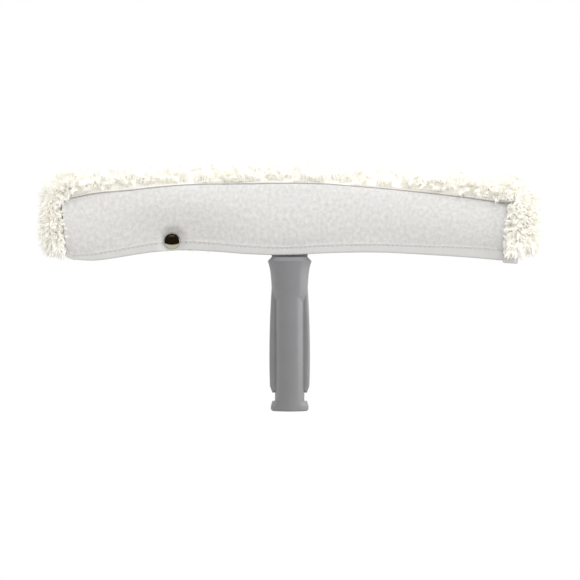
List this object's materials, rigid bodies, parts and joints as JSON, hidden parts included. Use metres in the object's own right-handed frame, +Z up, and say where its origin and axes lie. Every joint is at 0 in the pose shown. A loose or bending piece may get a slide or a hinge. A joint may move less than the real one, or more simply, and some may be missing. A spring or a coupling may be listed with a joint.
{
  "type": "window scrubber",
  "caption": "Window washing T-bar: moulded handle with a pole socket, crossbar inside a white plush sleeve with a felt back flap that closes with a press stud.",
  "frame": {"origin": "centre of the pole socket's mouth, at the lower end of the handle", "axes": "+Z up along the handle towards the crossbar, +X along the crossbar, the felt back faces -Y and the plush faces +Y"},
  "size_m": [0.4495, 0.0415, 0.221],
  "materials": {
    "grey_plastic": "satin moulded",
    "plush_pile": "long white pile",
    "white_felt": "needled felt",
    "white_tape": "woven tape",
    "white_thread": "sewing thread",
    "nickel": "polished nickel plate",
    "zinc_steel": "zinc plated"
  },
  "bodies": {
    "t_bar": {"handle": "grey_plastic", "crossbar": "grey_plastic", "handle_screw": "zinc_steel", "handle_washer": "zinc_steel"},
    "sleeve": {"plush_cover": "plush_pile", "felt_top": "white_felt", "top_seam_thread": "white_thread", "front_hem_tape": "white_tape", "front_hem_thread": "white_thread", "snap_stud": "nickel", "stud_rivet": "nickel"},
    "flap": {"felt_flap": "white_felt", "flap_hem_tape": "white_tape", "flap_hem_thread": "white_thread", "snap_cap": "nickel", "snap_socket": "nickel", "socket_spring": "nickel"}
  },
  "joints": [
    {"name": "sleeve_lift", "type": "slide", "parent": "t_bar", "child": "sleeve", "axis": [0, 0, 1], "range_m": [0, 0.06]},
    {"name": "flap_open", "type": "hinge", "parent": "sleeve", "child": "flap", "pos_m": [0, -0.0064, 0.181], "axis": [-1, 0, 0], "range_deg": [0, 162]}
  ],
  "couplings": [
    {"joint": "flap_open", "follows": "sleeve_lift", "rad_per_m": 47.1}
  ]
}
